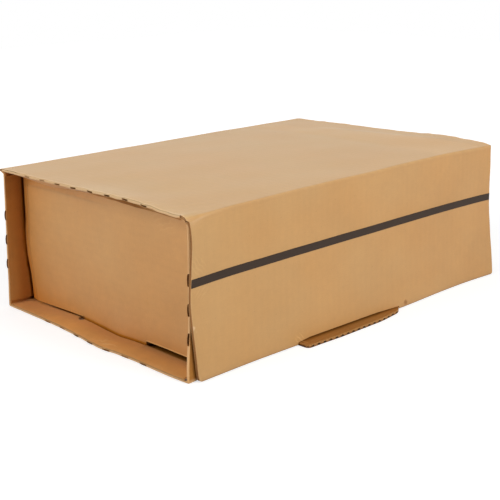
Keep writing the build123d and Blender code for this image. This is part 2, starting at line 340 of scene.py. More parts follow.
def wrapColumns():
    # places across the sheet: close together at each end, at the tab's sides and at the crease
    length, recess = sheet["length"], rim["recess"]
    hook, groove = recess - panel["hookLength"], recess - panel["grooveWidth"]
    near = np.array([rim["noseRadius"], 2.7, 4.5, 6.7, 9.0, 11.5, 14.0, hook - tiny, hook + tiny, 18.4,
                     groove - tiny, groove + 0.15, recess - tiny, recess + tiny, 22.3, 22.5, 28.0,
                     rim["tail"], rim["tail"] + 0.5])
    sides = np.array([[tab["start"] - tab["clearance"]], [tab["notchEnd"]]])
    fine = (sides + [-7.0, -3.5, -1.4, -0.1, 0.1, 2.0, 4.6, 7.1]).ravel()
    tabEnd = tab["end"] + tab["clearance"] + np.array([-0.1, 0.1])
    crease = settled["creaseAt"] + np.array([-9.0, -3.5, 3.5, 9.0])
    special = np.concatenate([fine, tabEnd, crease])
    even = np.linspace(42.0, length - 42.0, 26)
    even = even[np.abs(even[:, None] - special).min(1) > 3.0]
    return np.sort(np.concatenate([near, length - near, special, even]))


def inHook(end, y, more=0.0):
    # the short hook at the end of the narrow slot beside the hinge
    beside = (y > panel["hingeEnd"]) & (y < panel["hingeEnd"] + panel["hookWidth"])
    return beside & (end > rim["recess"] - panel["hookLength"]) & (end < rim["recess"] + more)


def returnDepth(x, rows):
    # depth of the inner surface under the outside: the return flap's two plies near an end, one ply elsewhere
    y, board, nose = rows["y"], sheet["board"], 2 * rim["noseRadius"]
    end = np.minimum(x, sheet["length"] - x)
    shown = x < sheet["length"] / 2
    isFloor, isTop = rows["side"] == "floor", rows["side"] == "top"
    inHinge = (y > panel["hingeStart"]) & (y < panel["hingeEnd"])
    tail = np.where(isFloor, np.where(inHinge, rim["hingeTail"], rim["recess"]), rim["tail"] + 0.1)
    full = 2 * board - pinch(y) * isFloor * shown
    swell = np.clip((end - rim["noseRadius"]) / (rim["taper"] - rim["noseRadius"]), 0, 1) ** 0.8
    droop = settled["topDroop"] * bell(y, *settled["droopAt"]) * between(end, settled["droopSpan"])
    sag = through(settled["topSag"], np.clip(y, 0, 160)) * between(end, settled["sagSpan"])
    depth = nose + (full - nose) * swell + (droop + sag) * isTop * shown
    depth = np.where(inHook(end, y) & isFloor, panel["hookDepth"], depth)
    inGroove = isFloor & inHinge & (end > rim["recess"] - panel["grooveWidth"]) & (end < panel["grooveEnd"])
    return np.where(rows["onRim"] & (end < tail), depth - panel["grooveDepth"] * inGroove, board)


def noseProfile(rows):
    # eleven points round the edge from outside to inside: a pinched fold with slits, or a raw edge of one ply
    r, closedLip, liner, board = rim["noseRadius"], rim["closedLip"], flute["liner"], sheet["board"]
    middle = np.array([0, 0, 0, 0, 1, 1, 1, 0, 0, 0, 0], float)
    inSlit = np.array([0, 0, 0, 1, 1, 1, 1, 1, 0, 0, 0], float)
    spread = np.array([-76, -66, -56, 0, 0, 0, 0, 0, 56, 66, 76], float)
    gape = np.array([0, 0, 0, -1, -1, 0, 1, 1, 0, 0, 0], float)
    turn, lip = (sum(row[name] * (rows["side"] == side) for side, row in rim["slits"].items())
                 for name in ("turn", "lip"))
    wide = spread + gape * lip + inSlit * turn
    wide[:, 2] = np.minimum(wide[:, 2], wide[:, 3] - 1)
    wide[:, 1] = np.minimum(wide[:, 1], wide[:, 2] - 1)
    closed = np.array([-76, -66, -56, -closedLip, -12, 0, 12, closedLip, 56, 66, 76]) + inSlit * turn
    angle = np.radians(closed + (wide - closed) * rows["opened"])
    foldX = r - r * np.cos(angle) + (rim["slitDepth"] * middle - rim["proud"]) * rows["opened"]
    rawDepth = np.array([0.08, 0.16, 0.24, liner, liner + 0.04, board / 2])
    rawDepth = np.concatenate([rawDepth, board - rawDepth[4::-1]])
    noseX = np.where(rows["isFolded"], foldX, r + flute["sideRecess"] * middle)
    return noseX, np.where(rows["isFolded"], r + r * np.sin(angle), rawDepth)


def endInsets(rows):
    # how far the flap's two ends, and the inner wall's shown end, stand in from the rims, by height
    corner, r = settled["flapCorner"], rim["noseRadius"]
    intoCorner = np.clip(corner - rows["z"] + sheet["flapFoot"], 0, corner)
    rounded = corner - np.sqrt(corner**2 - intoCorner**2)
    ends = []
    for name in ("flapNearEnd", "flapFarEnd"):
        inset = through(settled[name], rows["z"]) - r + rounded
        atTop = (through(settled[name], settled["flapTop"]) - r) * rows["foldShare"]
        ends.append(np.where(rows["side"] == "flap", inset, atTop * (rows["side"] == "frontFold")))
    isWall = np.isin(rows["side"], ("wall", "floorFold"))
    return np.where(isWall, through(settled["wallNearEnd"], rows["z"]), ends[0]), ends[1]


def wrapLoops(rows, x):
    # each row of the girth is a loop round the sheet's thickness, set down along that row's inward normal:
    # its outside, the far nose, its inside and the shown nose
    length, board, r = sheet["length"], sheet["board"], rim["noseRadius"]
    side, cap = rows["side"], rows["capDepth"]
    nearEnd, farEnd = endInsets(rows)
    share = 1 - ease((x - r) / settled["endReach"])
    acrossX = x + nearEnd * share - farEnd * share[::-1]
    noseX, noseDepth = noseProfile(rows)
    loopX = np.concatenate([acrossX, length - farEnd - noseX, acrossX[:, ::-1], nearEnd + noseX[:, ::-1]], 1)
    depth = np.concatenate([0 * acrossX, noseDepth, returnDepth(x, rows)[:, ::-1], noseDepth[:, ::-1]], 1)
    depth = np.clip(depth, cap, np.maximum(depth.max(1, keepdims=True) - cap, board / 2))
    capInset = r + np.minimum(cap, flute["liner"])
    loopX = np.where(cap > 0, np.clip(loopX, nearEnd + capInset, length - farEnd - capInset), loopX)

    # the folds sharpen towards the rims: the powers of the normal's parts fall below one
    isSharp = np.isin(side, ("floorFold", "backFold", "topFold"))
    power = 1 - 0.75 * isSharp * (1 - ease(np.minimum(loopX, length - loopX) / 24.0))
    power = power - 0.68 * (side == "frontFold") * ease((loopX - 6.0) / 26.0)
    loopY, loopZ = (
        rows[name] - depth * part + (np.sign(part) * np.abs(part) ** power - part) * sheet["foldRadius"]
        for name, part in (("y", rows["normalY"]), ("z", rows["normalZ"])))

    # the flap's foot steps up over the tab
    notch = (loopX > tab["start"] - tab["clearance"]) & (loopX < tab["notchEnd"])
    lifted = ease((loopX - tab["start"]) / 14.0) * ease((tab["notchEnd"] + 2.0 - loopX) / 34.0)
    lift = board + tab["underFlap"] - sheet["flapFoot"] + tab["lift"] * lifted
    loopZ = loopZ + lift * np.clip((12.5 - loopZ) / 12.0, 0, 1) * notch * (side == "flap")
    isBack, isFront = np.isin(side, ("backFold", "back", "topFold")), np.isin(side, ("frontFold", "flap"))
    points = np.stack(settle(loopX, loopY, loopZ, isBack, isFront * rows["foldShare"]), -1)

    # the points of a nose are counted along the loop: from the outside in at the far end,
    # and from the inside out at the shown end
    across, nose, column = len(x), noseX.shape[1], np.arange(loopX.shape[1])
    isInner = (column >= across + nose) & (column < 2 * across + nose)
    onNose = (column >= across) & ~isInner
    noseIndex = np.where(column < across + nose, column - across, column - 2 * across - nose)
    return {"points": points, "x": loopX, "z": loopZ, "depth": depth, "notch": notch, "across": across,
            "end": np.minimum(loopX - nearEnd, length - farEnd - loopX), "isInner": isInner, "onNose": onNose,
            "noseIndex": noseIndex, "core": onNose & (noseIndex >= 3) & (noseIndex <= 6)}


def gridFaces(rowCount, columnCount, keep=True):
    # a quad between each pair of rows and of columns, the last column joined to the first
    row, column = np.meshgrid(np.arange(rowCount - 1), np.arange(columnCount), indexing="ij")
    following = (column + 1) % columnCount
    quads = np.stack([row * columnCount + column, row * columnCount + following,
                      (row + 1) * columnCount + following, (row + 1) * columnCount + column], -1)
    return quads[np.broadcast_to(keep, row.shape)]


def slabFaces(rowCount, columnCount):
    # the quads of a closed slab: those of its grid, and those that close its first and its last row
    i = np.arange(columnCount // 2 - 1)
    cap = np.stack([i, i + 1, columnCount - 2 - i, columnCount - 1 - i], -1)
    return np.concatenate([gridFaces(rowCount, columnCount), cap, cap + (rowCount - 1) * columnCount])


def wrapFaces(rows, loops):
    # the wrap's quads, with the tab's window left out and its rim closed, and the material slot of each:
    # 0 for the liner, 1 for a raw edge along the flutes and 2 for one across them
    across, count = loops["across"], loops["x"].shape[1]
    column = np.arange(count)
    opened = np.maximum(rows["opened"][1:], rows["opened"][:-1]) > 0.01
    folded = rows["isFolded"][1:] & rows["isFolded"][:-1]
    stepRow = rows["onRim"][1:] != rows["onRim"][:-1]
    slot = ((loops["core"] & (opened | ~folded)) | (stepRow & (column >= across))).astype(int)
    slot[:3], slot[-3:] = 2, 2

    inWindow = (rows["side"] == "floorFold") | ((rows["side"] == "wall") & (rows["z"] < tab["windowHeight"]))
    windowRow = inWindow[1:] & inWindow[:-1]
    wall = loops["x"][5]  # any row of the inner wall
    middle = (wall + np.roll(wall, -1)) / 2
    inSpan = (middle > tab["start"] - tab["clearance"]) & (middle < tab["end"] + tab["clearance"])
    windowColumn = inSpan & ~loops["onNose"]
    keep = ~(windowRow & windowColumn)
    top, bottom = np.flatnonzero(windowRow)[[0, -1]] + [0, 1]
    left, right = np.flatnonzero(windowColumn & (column < across))[[0, -1]] + [0, 1]
    ring = [(top, place) for place in range(left, right)] + [(row, right) for row in range(top, bottom)]
    ring += [(bottom, place) for place in range(right, left, -1)]
    ring += [(row, left) for row in range(bottom, top, -1)]
    row, place = np.array(ring).T
    outside, inside = row * count + place, row * count + across + count // 2 - 1 - place
    rimFaces = np.stack([outside, inside, np.roll(inside, -1), np.roll(outside, -1)], -1)
    faces = np.concatenate([gridFaces(len(rows["z"]), count, keep), rimFaces])
    return faces, np.concatenate([slot[keep], np.ones(len(rimFaces), int)])


wrapPaint = {  # tone and warmth of each painted place, most of them painted shade and painted light, which add up where places overlap
    # the inside faces are warmer: a painted tint of light bounced about the recess
    "inside": (0, 0.2),
    "lowerNose": (0, 0.06),
    "rawEdge": (0, 0.14),
    # painted shade in the open slits, a little less in the wall's and more in the back's
    "slit": (-0.6, 0.28),
    "wallSlit": (0.08, 0),
    "backSlit": (-0.2, 0),
    # the top is paler, a painted sheen; painted highlights along its shown rim and between the crease and the
    # ridge, and painted shade just past the ridge
    "topOutside": (0, -0.035),
    "topNearRim": (0.04, -0.05),
    "topPaler": (0.05, 0),
    "topRidgeShade": (-0.07, 0),
    # painted highlights on the top's edge and where its nose starts, and painted shade under its nose, deeper
    # near the front and near the back
    "topEdge": (0.24, 0),
    "topNoseStart": (0.66, 0),
    "topNoseEnd": (-0.12, 0),
    "topNoseEndFront": (-0.25, 0),
    "topNoseEndBack": (-0.45, 0),
    # painted shade on the top's sagging return under its rim, warmer where it sags
    "topReturnShade": (-0.62, 0),
    "topSag": (0, 0.12),
    # painted shade along the front fold
    "foldLineShade": (-0.05, 0),
    "foldNose": (-0.4, 0),
    "flap": (-0.08, 0),
    # painted shade towards the flap's far end, warmer there and deeper towards its foot, and a painted shadow
    # along its foot
    "flapFar": (-0.03, 0.07),
    "flapFarLow": (-0.05, 0),
    "flapFoot": (-0.38, 0),
    # a painted warm tint on the inner wall's outside, which lies in shade, and painted shade on its inside
    "wallOutside": (0, 0.2),
    "wallInsideShade": (-0.12, 0),
    "wallNose": (0.06, 0),
    "wedgeShade": (-0.64, 0.06),  # painted shade on the inner wall beside the flap's shown end, less towards the foot
    "wedgeLow": (0.3, 0),
    # painted shade under the floor's nose; painted light on the floor's return towards the back; painted
    # shade in the crease before the hinge, on the floor in front of the wide slot and in the hook
    "floorNoseShade": (-0.35, 0),
    "floorLit": (0.13, 0),
    "floorCreaseShade": (-0.15, 0),
    "slotFootShade": (-0.5, 0),
    "hook": (-0.92, 0),
    # painted shade and a painted tint of bounced light on the back's return, with painted light at its middle
    # height
    "backInsideShade": (-0.18, 0.06),
    "backLit": (0.05, 0),
    # painted shade on the closed inside behind the end panel, lighter just behind the wide slot and at the
    # back's middle height, and warmer
    "shadeBehindPanel": (-0.65, 0),
    "brownBehind": (0.4, 0),
    "closedBehind": (0.4, 0),
    "warmBehind": (0, 0.3),
}


def wrapMasks(rows, loops):
    # where each painted place lies, from nought to one
    y, z, side = rows["y"], rows["z"], rows["side"]
    x, end, noseIndex = loops["x"], loops["end"], loops["noseIndex"]
    onNose, isInner, isOuter = loops["onNose"], loops["isInner"], ~loops["isInner"]
    wall, floor, back, top, flap = (side == name for name in ("wall", "floor", "back", "top", "flap"))
    front = np.isin(side, ("frontFold", "flap"))
    ridge, crease = through(settled["ridge"], y), settled["creaseAt"]
    sagged = through(settled["topSag"], np.clip(y, 0, 160)) / settled["mostSag"] * top * isInner
    slit = np.isin(noseIndex, (4, 5, 6)) * onNose * np.clip(1.7 * rows["opened"], 0, 1)
    folded = rows["isFolded"][1:] & rows["isFolded"][:-1]

    # painted shade on the closed inside behind the end panel's face, whose fold by the back stands forward
    forward = through(panel["proud"], np.clip(z, 0, 113.0)) * back
    within = isInner * ease((end - rim["recess"] + forward + 0.4) / 1.2)
    onCrease = floor & (y > panel["hingeStart"]) & (y < panel["hingeEnd"]) & (end < panel["grooveEnd"])
    brown = floor & (y < panel["hingeStart"]) & (end < 27.0)
    slotFootShade = fade(rim["recess"] - end, 2.6) * (end < rim["recess"] + 0.5) * (y < panel["hingeStart"])
    wedgeShade = wall & isOuter & ~onNose & (x < 16.0)
    flapFar = flap * isOuter * np.clip(x / sheet["length"], 0, 1) ** 2
    noseEnd = top & onNose & (noseIndex >= 8)
    return {
        "inside": isInner,
        "lowerNose": onNose & ~(top | front),
        "rawEdge": loops["core"] & ~np.concatenate([folded, folded[-1:]]),
        "slit": slit,
        "wallSlit": slit * wall,
        "backSlit": slit * back,
        "topOutside": top & isOuter,
        "topNearRim": top * isOuter * bell(x, 3.0, 8.0) * (1 - ease((y - 90.0) / 60.0)),
        "topPaler": top * isOuter * between(x, (crease, crease + 6.0, ridge - 6.0, ridge - 1.0)),
        "topRidgeShade": top * isOuter * bell(x, ridge + 3.0, 4.5) * between(y, settled["ridgeSpan"]),
        "topEdge": top * isOuter * ~onNose * fade(end - 1.0, 0.8),
        "topNoseStart": top * onNose * (noseIndex <= 3) * bell(noseIndex, 1.0, 1.8),
        "topNoseEnd": noseEnd,
        "topNoseEndFront": noseEnd * (1 - ease((y - 55.0) / 20.0)),
        "topNoseEndBack": noseEnd * ease((y - 200.0) / 14.0),
        "topReturnShade": sagged**0.6 * (1 - ease((end - 8.0) / 6.0)),
        "topSag": sagged,
        "foldLineShade": front * isOuter * bell(z, sheet["height"], 3.0),
        "foldNose": (side == "frontFold") & onNose,
        "flap": front * isOuter * rows["foldShare"],
        "flapFar": flapFar,
        "flapFarLow": flapFar * (1 - z / sheet["height"]),
        "flapFoot": flap * ~loops["notch"] * fade(loops["z"] - sheet["flapFoot"], 0.7),
        "wallOutside": wall & isOuter & ~onNose,
        "wallInsideShade": wall & isInner,
        "wallNose": wall & onNose,
        "wedgeShade": wedgeShade,
        "wedgeLow": wedgeShade * (1 - ease(z / 42.0)),
        "floorNoseShade": floor & onNose & (noseIndex <= 3),
        "floorLit": floor * isInner * ease((y - 60.0) / 120.0),
        "floorCreaseShade": onCrease * isInner * ease(end - 18.2),
        "slotFootShade": floor * isInner * slotFootShade,
        "hook": floor & isInner & inHook(end, y, 0.5),
        "backInsideShade": back & isInner,
        "backLit": back * isInner * bell(z, 60.0, 30.0),
        "shadeBehindPanel": within * ~onCrease,
        "brownBehind": within * brown,
        "closedBehind": within * back * bell(z, 54.0, 13.0),
        "warmBehind": within * ~brown,
    }


def makeWrap():
    # the whole folded sheet apart from the end panels and the tab
    rows = wrapRows()
    loops = wrapLoops(rows, wrapColumns())
    faces, slot = wrapFaces(rows, loops)
    tone, warmth = painted(wrapPaint, wrapMasks(rows, loops))
    wear = np.where(rows["onRim"], fade(loops["end"], 4.5), 0.55 * fade(loops["end"] - 1, 2.5))
    wear = wear + 0.35 * (rows["side"] == "flap") * fade(loops["z"], 2.5)
    return {"points": loops["points"], "faces": faces, "slot": slot,
            "u": np.where(loops["isInner"], -loops["x"], loops["x"]), "v": rows["girth"],
            "plyDepth": loops["depth"], "foldWear": wear, "tone": tone, "warmth": warmth}


panel = {
    "flange": 26.0,
    "backGap": 1.6,
    "gapMore": 1.5,  # how much wider that gap grows towards its top
    "gapMoreLow": 0.675,  # and towards its foot
    "proud": [(0, 0), (25, 1.2), (45, 3.2), (76, 3.2), (113, 2.5)],  # how far its fold there stands forward
    "proudReach": 46.0,
    "topGap": 0.5,
    "foldRadius": 1.6,
    "border": 6.2,  # width of the pressed border along its fold
    "topBorder": 9.2,
    "borderDepth": 0.8,
    "borderRows": (1.9, 3.2, 4.6, 5.6, 6.2, 6.8, 7.6, 9.2),
    "hingeStart": 72.0,
    "hingeEnd": 156.0,
    "thinSlot": 1.3,
    "wideSlot": 3.0,
    "hookLength": 3.2,
    "hookWidth": 2.8,
    "hookDepth": 1.2,
    "grooveWidth": 1.1,  # crease line in front of the hinge
    "grooveDepth": 0.8,
    "grooveEnd": 22.0,
    "lowRows": (0, 0.45, 0.9, 1.3, 1.7, 2.2, 2.9, 4.0, 6.0, 9.0),  # places up the face, from its foot
    "highRows": (12.0, 10.6, 9.8, 9.2, 8.6, 7.6, 6.0, 3.5, 0.0),  # and down from its top
    "rowSpan": 109.0,
    "paint": {  # tone and warmth: painted shade and painted light
        # painted shade and a painted tint of bounced light over the whole panel, which stands back in the
        # recess
        "all": (-0.06, 0.065),
        # painted light on the pressed border and painted shade in the line beside it
        "border": (0.04, 0.06),
        "pressedLineShade": (-0.12, 0),
        # painted shade near the floor and near the fold by the back, and a painted shadow along the hinge
        "low": (-0.09, 0.05),
        "nearFoldShade": (-0.05, 0.07),
        "hinge": (-0.3, 0.15),
        # a painted highlight on the lit edge over the wide slot
        "overSlotHighlight": (0.32, -0.22),
        "shade": (-0.10, 0.16),
    },
}


def panelRows(front, back):
    # the panel seen from above: front flange, fold, face, fold and back flange
    r, recess = panel["foldRadius"], rim["recess"]
    flange = np.linspace(recess + panel["flange"], recess + r, 5)
    turn = np.radians(np.linspace(0, 90, 8)[1:-1])
    hinge = np.array([panel["hingeStart"], panel["hingeEnd"]])
    border = back - np.array(panel["borderRows"])
    even = np.linspace(front + r, back - 12.0, 44)
    face = np.unique(np.concatenate([even, [back - r], border, hinge - tiny, hinge + tiny]))
    none, one = 0 * flange, 1 + 0 * flange
    rows = {
        "x": (flange, recess + r - r * np.sin(turn), recess + 0 * face, recess + r - r * np.cos(turn),
              flange[::-1]),
        "y": (front * one, front + r - r * np.cos(turn), face, back - r + r * np.sin(turn), back * one),
        "normalX": (none, -np.sin(turn), 0 * face - 1, -np.cos(turn), none),
        "normalY": (-one, -np.cos(turn), 0 * face, np.sin(turn), one),
    }
    rows = {name: np.concatenate(parts) for name, parts in rows.items()}
    rows["girth"] = np.concatenate([[0], np.cumsum(np.hypot(np.diff(rows["x"]), np.diff(rows["y"])))])
    return withCaps(rows)


def makePanel(shown):
    # the end panel: a loop round its thickness in z, carried along its rows
    board, liner = sheet["board"], flute["liner"]
    front, back = sheet["wallFront"] + 2 * board, sheet["width"] - 2 * board - panel["backGap"]
    rows = panelRows(front, back)
    y, cap = rows["y"], rows["capDepth"]
    beforeHinge = y < panel["hingeStart"]
    onHinge = ~beforeHinge & (y < panel["hingeEnd"]) & (rows["normalX"] < -0.99)
    floorTop = 2 * board - pinch(y) * shown
    slot = np.where(beforeHinge, panel["wideSlot"], panel["thinSlot"])
    bottom = np.where(onHinge, floorTop - panel["grooveDepth"] - 0.2, floorTop + slot)
    top = sheet["height"] - 2 * board - panel["topGap"]
    span = panel["rowSpan"]
    high = span - np.array(panel["highRows"])
    share = np.concatenate([panel["lowRows"], np.linspace(12.0, 94.0, 22), high]) / span
    edgeDepth = np.array([liner, liner + 0.04, board / 2, board - liner - 0.04, board - liner])
    edgeIn = np.array([0, 1, 1, 1, 0]) * flute["sideRecess"]
    outerZ = bottom + share * (top - bottom)
    loopZ = np.concatenate([outerZ, top - edgeIn + 0 * y, outerZ[:, ::-1], bottom + edgeIn[::-1]], 1)
    depth = np.concatenate([0 * share, edgeDepth, board + 0 * share, edgeDepth[::-1]])
    depth = np.clip(depth, cap, board - cap)
    capZ = np.minimum(cap, liner)
    loopZ = np.clip(loopZ, bottom + capZ, top - capZ)
    loopX = rows["x"] - rows["drawnIn"] - depth * rows["normalX"]
    loopY = y - depth * rows["normalY"]

    # the shown face bulges out a little, its border is pressed in, and its fold by the back stands forward
    # and a little away from the back
    bulge = 0.35 * ripple(loopY * 0.8, loopZ * 1.3) - 0.9 * bell(loopY, 115.0, 60.0) * bell(loopZ, 55.0, 40.0)
    toFold, toTop = back - loopY, top - loopZ
    underTop = 1 - ease((150.0 - y) / 50.0)
    atFold, atTop = 1 - ease(toFold / panel["border"] * 3 - 2), 1 - ease(toTop / panel["topBorder"] * 4 - 3)
    inBorder = np.maximum(atFold, atTop * underTop)
    loopX = loopX + (bulge + panel["borderDepth"] * inBorder) * (rows["normalX"] < -0.5) * shown
    widened = panel["gapMore"] * ease((loopZ - 62.0) / 16.0)
    widened = widened + panel["gapMoreLow"] * (1 - ease((loopZ - 28.0) / 16.0))
    forward = through(panel["proud"], np.clip(loopZ, 0, 113.0))
    loopX = loopX - forward * (1 - ease(toFold / panel["proudReach"])) * shown
    loopY = loopY - widened * (1 - ease(toFold / 30.0)) * shown
    if not shown:
        loopX = sheet["length"] - loopX
    loopX, loopY, loopZ = settle(loopX, loopY, loopZ, 0, 0)

    count, column = len(depth[0]), np.arange(len(depth[0]))
    onEdge = column % (count // 2) >= len(share) - 1
    stepRow = np.abs(np.diff(bottom, axis=0)) > 0.5
    slots = (onEdge | (stepRow & ((column < 3) | (column > count - 8)))).astype(int)
    slots[:3], slots[-3:] = 2, 2
    # where the painted shade and painted light lie on the panel's face
    fromFloor = loopZ - floorTop
    lines = bell(toFold, panel["border"] + 0.3, 0.8) + bell(toTop, panel["topBorder"] + 0.3, 0.9) * underTop
    masks = {
        "all": 1,
        "border": inBorder,
        "pressedLineShade": lines,
        "low": fade(fromFloor, 25.0) * ease((160.0 - y) / 60.0),
        "nearFoldShade": fade(toFold, 40.0),
        "hinge": bell(fromFloor, 0.0, 1.7) * onHinge,
        "overSlotHighlight": bell(loopZ - bottom, 0.2, 0.7) * beforeHinge,
        "shade": fade(fromFloor, 19.0) + 0.6 * fade(toFold, 28.0),
    }
    tone, warmth = painted(panel["paint"], masks)
    wear = 0.35 * fade(np.abs(loopZ - bottom), 2.0) + 0.25 * bell(rows["girth"], 40.0, 5.0)
    return {"points": np.stack([loopX, loopY, loopZ], -1), "faces": gridFaces(len(y), count),
            "slot": slots.ravel(), "u": loopZ + 23.0, "v": rows["girth"] + 40.0, "plyDepth": depth,
            "foldWear": wear, "tone": tone, "warmth": warmth}


tab = {
    "start": 105.4,
    "end": 224.5,
    "clearance": 0.4,
    "underFlap": 0.15,  # gap between the tab and the flap's foot
    "lift": 1.15,  # how much further the flap's foot stands over the tab
    "notchEnd": 223.0,  # where the tab's rounded end passes under the flap's foot
    "reach": 12.8,
    "startCorner": 3.4,
    "endCorner": 14.0,
    "endTaper": 3.0,
    # the tab is darker and warmer than the faces: partly the inner liner's own colour and partly painted
    # shade
    "tone": -0.405,
    "warmth": 0.215,
    "underShade": -0.4,  # painted shade on the lower liner: how much darker it is
    "fluteShade": -0.93,  # painted shade inside the open flutes
    "ridgeTone": -0.2,  # between them
    "windowHeight": 15.7,
    "stripe": 2.6,
}


def tabReach(x):
    # the tab's outer edge: a faint bow, with a small round corner at its start and a large one at its end
    reach = tab["reach"] - 1.6 * ease((150.0 - x) / 45.0) - tab["endTaper"] * ease((x - 186.0) / 34.0)
    first, last = tab["startCorner"], tab["endCorner"]
    fromStart = np.clip(first - (x - tab["start"]), 0, first)
    fromEnd = np.clip(last - (tab["end"] - x), 0, last)
    return reach - (first - np.sqrt(first**2 - fromStart**2)) - (last - np.sqrt(last**2 - fromEnd**2))


def tabLayer(low, high, columns, arch=0.0, isUnder=False):
    # one layer of the tab's board: a closed slab from the floor's fold outwards, arched under once a pitch
    t = (1 - np.cos(np.linspace(0, pi, 19))) / 2
    start, end = tab["start"], tab["end"]
    edges = np.concatenate([start + t[:10] * 9.0, end - t[9::-1] * 24.0])
    x = np.unique(np.concatenate([edges, np.linspace(start + 1.0, end - 1.0, columns)]))[:, None]
    v = np.array([0, 0.15, 0.25, 0.32, 0.39, 0.46, 0.54, 0.64, 0.76, 0.88, 0.95, 1.0])
    root, reach = sheet["wallFront"] + sheet["foldRadius"], tabReach(x)
    y = root + (-reach - root) * v
    rise = arch * np.clip(1.3 * np.sin(2 * pi * x / flute["pitch"]) - 0.15, 0, 1) ** 0.7 + 0 * y
    points = np.concatenate([np.stack([x + 0 * y, y, high + 0 * y], -1),
                             np.stack([x + 0 * y, y, low + rise], -1)[:, ::-1]], 1)
    alongY = points[..., 1]
    # a painted shadow on the tab under the flap's foot
    shade = fade(-(alongY + through(settled["flapOut"], x) + 0.5), 1.4)
    edge = bell(alongY + reach, 0.0, 0.5) * (not isUnder)
    tone = tab["tone"] + tab["underShade"] * isUnder - 0.2 * shade + 0.08 * edge
    tone = tone + 0.04 * np.sin(2 * pi * x / tab["stripe"]) * (1 + ripple(x * 2.0, 0))
    if arch:
        tone = np.concatenate([0 * y, np.where(rise > 0.15, tab["fluteShade"], tab["ridgeTone"])], 1)
    girth = sheet["wallTop"] - sheet["foldRadius"] + pi / 2 * sheet["foldRadius"] - root
    return {"points": points, "faces": slabFaces(*alongY.shape), "slot": 1 if arch else 0,
            "u": points[..., 0], "v": girth + alongY, "plyDepth": flute["liner"] / 2,
            "foldWear": 0.5 * fade(np.abs(alongY + reach), 1.6), "tone": tone,
            "warmth": tab["warmth"] + 0.13 * shade - 0.1 * edge}


strip = {
    "bottom": 70.5,
    "width": 6.0,
    "thickness": 0.22,
    "lift": 0.01,  # gap between the strip's back and the flap
    "endInset": 0.15,
    "endDip": 1.1,
    "dipLength": 28.0,
    "columns": 76,
    "dark": (0.030, 0.019, 0.013, 1),
    "light": (0.062, 0.042, 0.030, 1),
    "scuff": (0.20, 0.14, 0.10, 1),
    "roughness": 0.6,
    "gloss": 0.13,
    "filamentScale": (0.05, 3.2, 1.0),  # per millimetre, along and across the tape
    "scuffScale": (0.25, 0.8, 1.0),
    "scuffShare": 0.2,
    "bump": (0.3, 0.0001),  # strength, and distance in metres
}


def makeStrip():
    # a thin closed band on the flap: three points across its face and three on its back, along the box
    length = sheet["length"]
    x = np.linspace(1.6, length - 0.6, strip["columns"])[:, None]
    dip = strip["endDip"] * (fade(x, strip["dipLength"]) + fade(length - x, strip["dipLength"]))
    z = strip["bottom"] + np.array([0, 0.5, 1.0]) * strip["width"] - dip
    near = through(settled["flapNearEnd"], z) + strip["endInset"]
    far = length - through(settled["flapFarEnd"], z) - strip["endInset"]
    x = near + (far - near) * np.linspace(0, 1, len(x))[:, None]
    face, under = (np.stack([x, -flapOutward(x, z) - out, z], -1)
                   for out in (strip["thickness"], strip["lift"]))
    points = np.concatenate([face, under[:, ::-1]], 1)
    points[..., 2] += topLift(points[..., 0], 0 * points[..., 0]) * (points[..., 2] / sheet["height"]) ** 3
    return {"points": points, "faces": slabFaces(*points.shape[:2]), "slot": 0, "u": points[..., 0],
            "v": points[..., 2], "plyDepth": 0.0, "foldWear": 0.0, "tone": 0.0, "warmth": 0.0}


def fill(socket, value):
    # links a socket to another one, or sets its own value
    if isinstance(value, bpy.types.NodeSocket):
        socket.id_data.links.new(value, socket)
    else:
        socket.default_value = value


def fillAll(made, inputs):
    for name, value in inputs.items():
        fill(made.inputs[name], value)


def node(tree, kind, inputs=None, **settings):
    made = tree.nodes.new(kind)
    for name, value in settings.items():
        setattr(made, name, value)
    fillAll(made, inputs or {})
    return made


def treeOf(*values):
    # the node tree of the first socket among the values
    return next(value.id_data for value in values if isinstance(value, bpy.types.NodeSocket))


def maths(operation, a, b=0.0, clamp=False):
    return node(treeOf(a, b), "ShaderNodeMath", {0: a, 1: b}, operation=operation, use_clamp=clamp).outputs[0]


def plus(a, b):
    return maths("ADD", a, b)


def minus(a, b, clamp=False):
    return maths("SUBTRACT", a, b, clamp)


def times(a, b, clamp=False):
    return maths("MULTIPLY", a, b, clamp)


def mixColour(factor, a, b, blend="MIX"):
    inputs = {0: factor, 6: a, 7: b}
    return node(treeOf(factor, a, b), "ShaderNodeMix", inputs, data_type="RGBA", blend_type=blend).outputs[2]


def scaled(vector, scale):
    return node(vector.id_data, "ShaderNodeMapping", {"Vector": vector, "Scale": scale}).outputs[0]


def noise(vector, scale, detail=3.0, rough=0.5):
    inputs = {"Vector": vector, "Scale": scale, "Detail": detail, "Roughness": rough}
    return node(vector.id_data, "ShaderNodeTexNoise", inputs).outputs["Fac"]


def alongX(vector):
    return node(vector.id_data, "ShaderNodeSeparateXYZ", {"Vector": vector}).outputs["X"]


def combined(x, y, z):
    return node(x.id_data, "ShaderNodeCombineXYZ", {"X": x, "Y": y, "Z": z}).outputs[0]


def bumped(height, strength, distance):
    inputs = {"Strength": strength, "Distance": distance, "Height": height}
    return node(height.id_data, "ShaderNodeBump", inputs).outputs[0]


def newGroup(name, inputs, outputs):
    # a shader node group with named sockets: three numbers make a vector, four a colour and one a plain value
    group = bpy.data.node_groups.new(name, "ShaderNodeTree")
    kinds = {3: "NodeSocketVector", 4: "NodeSocketColor"}
    for way, sockets in (("INPUT", inputs), ("OUTPUT", outputs)):
        for socketName, value in sockets.items():
            kind = kinds.get(np.size(value), "NodeSocketFloat")
            socket = group.interface.new_socket(name=socketName, in_out=way, socket_type=kind)
            socket.default_value = value
    return group, group.nodes.new("NodeGroupInput").outputs, group.nodes.new("NodeGroupOutput").inputs


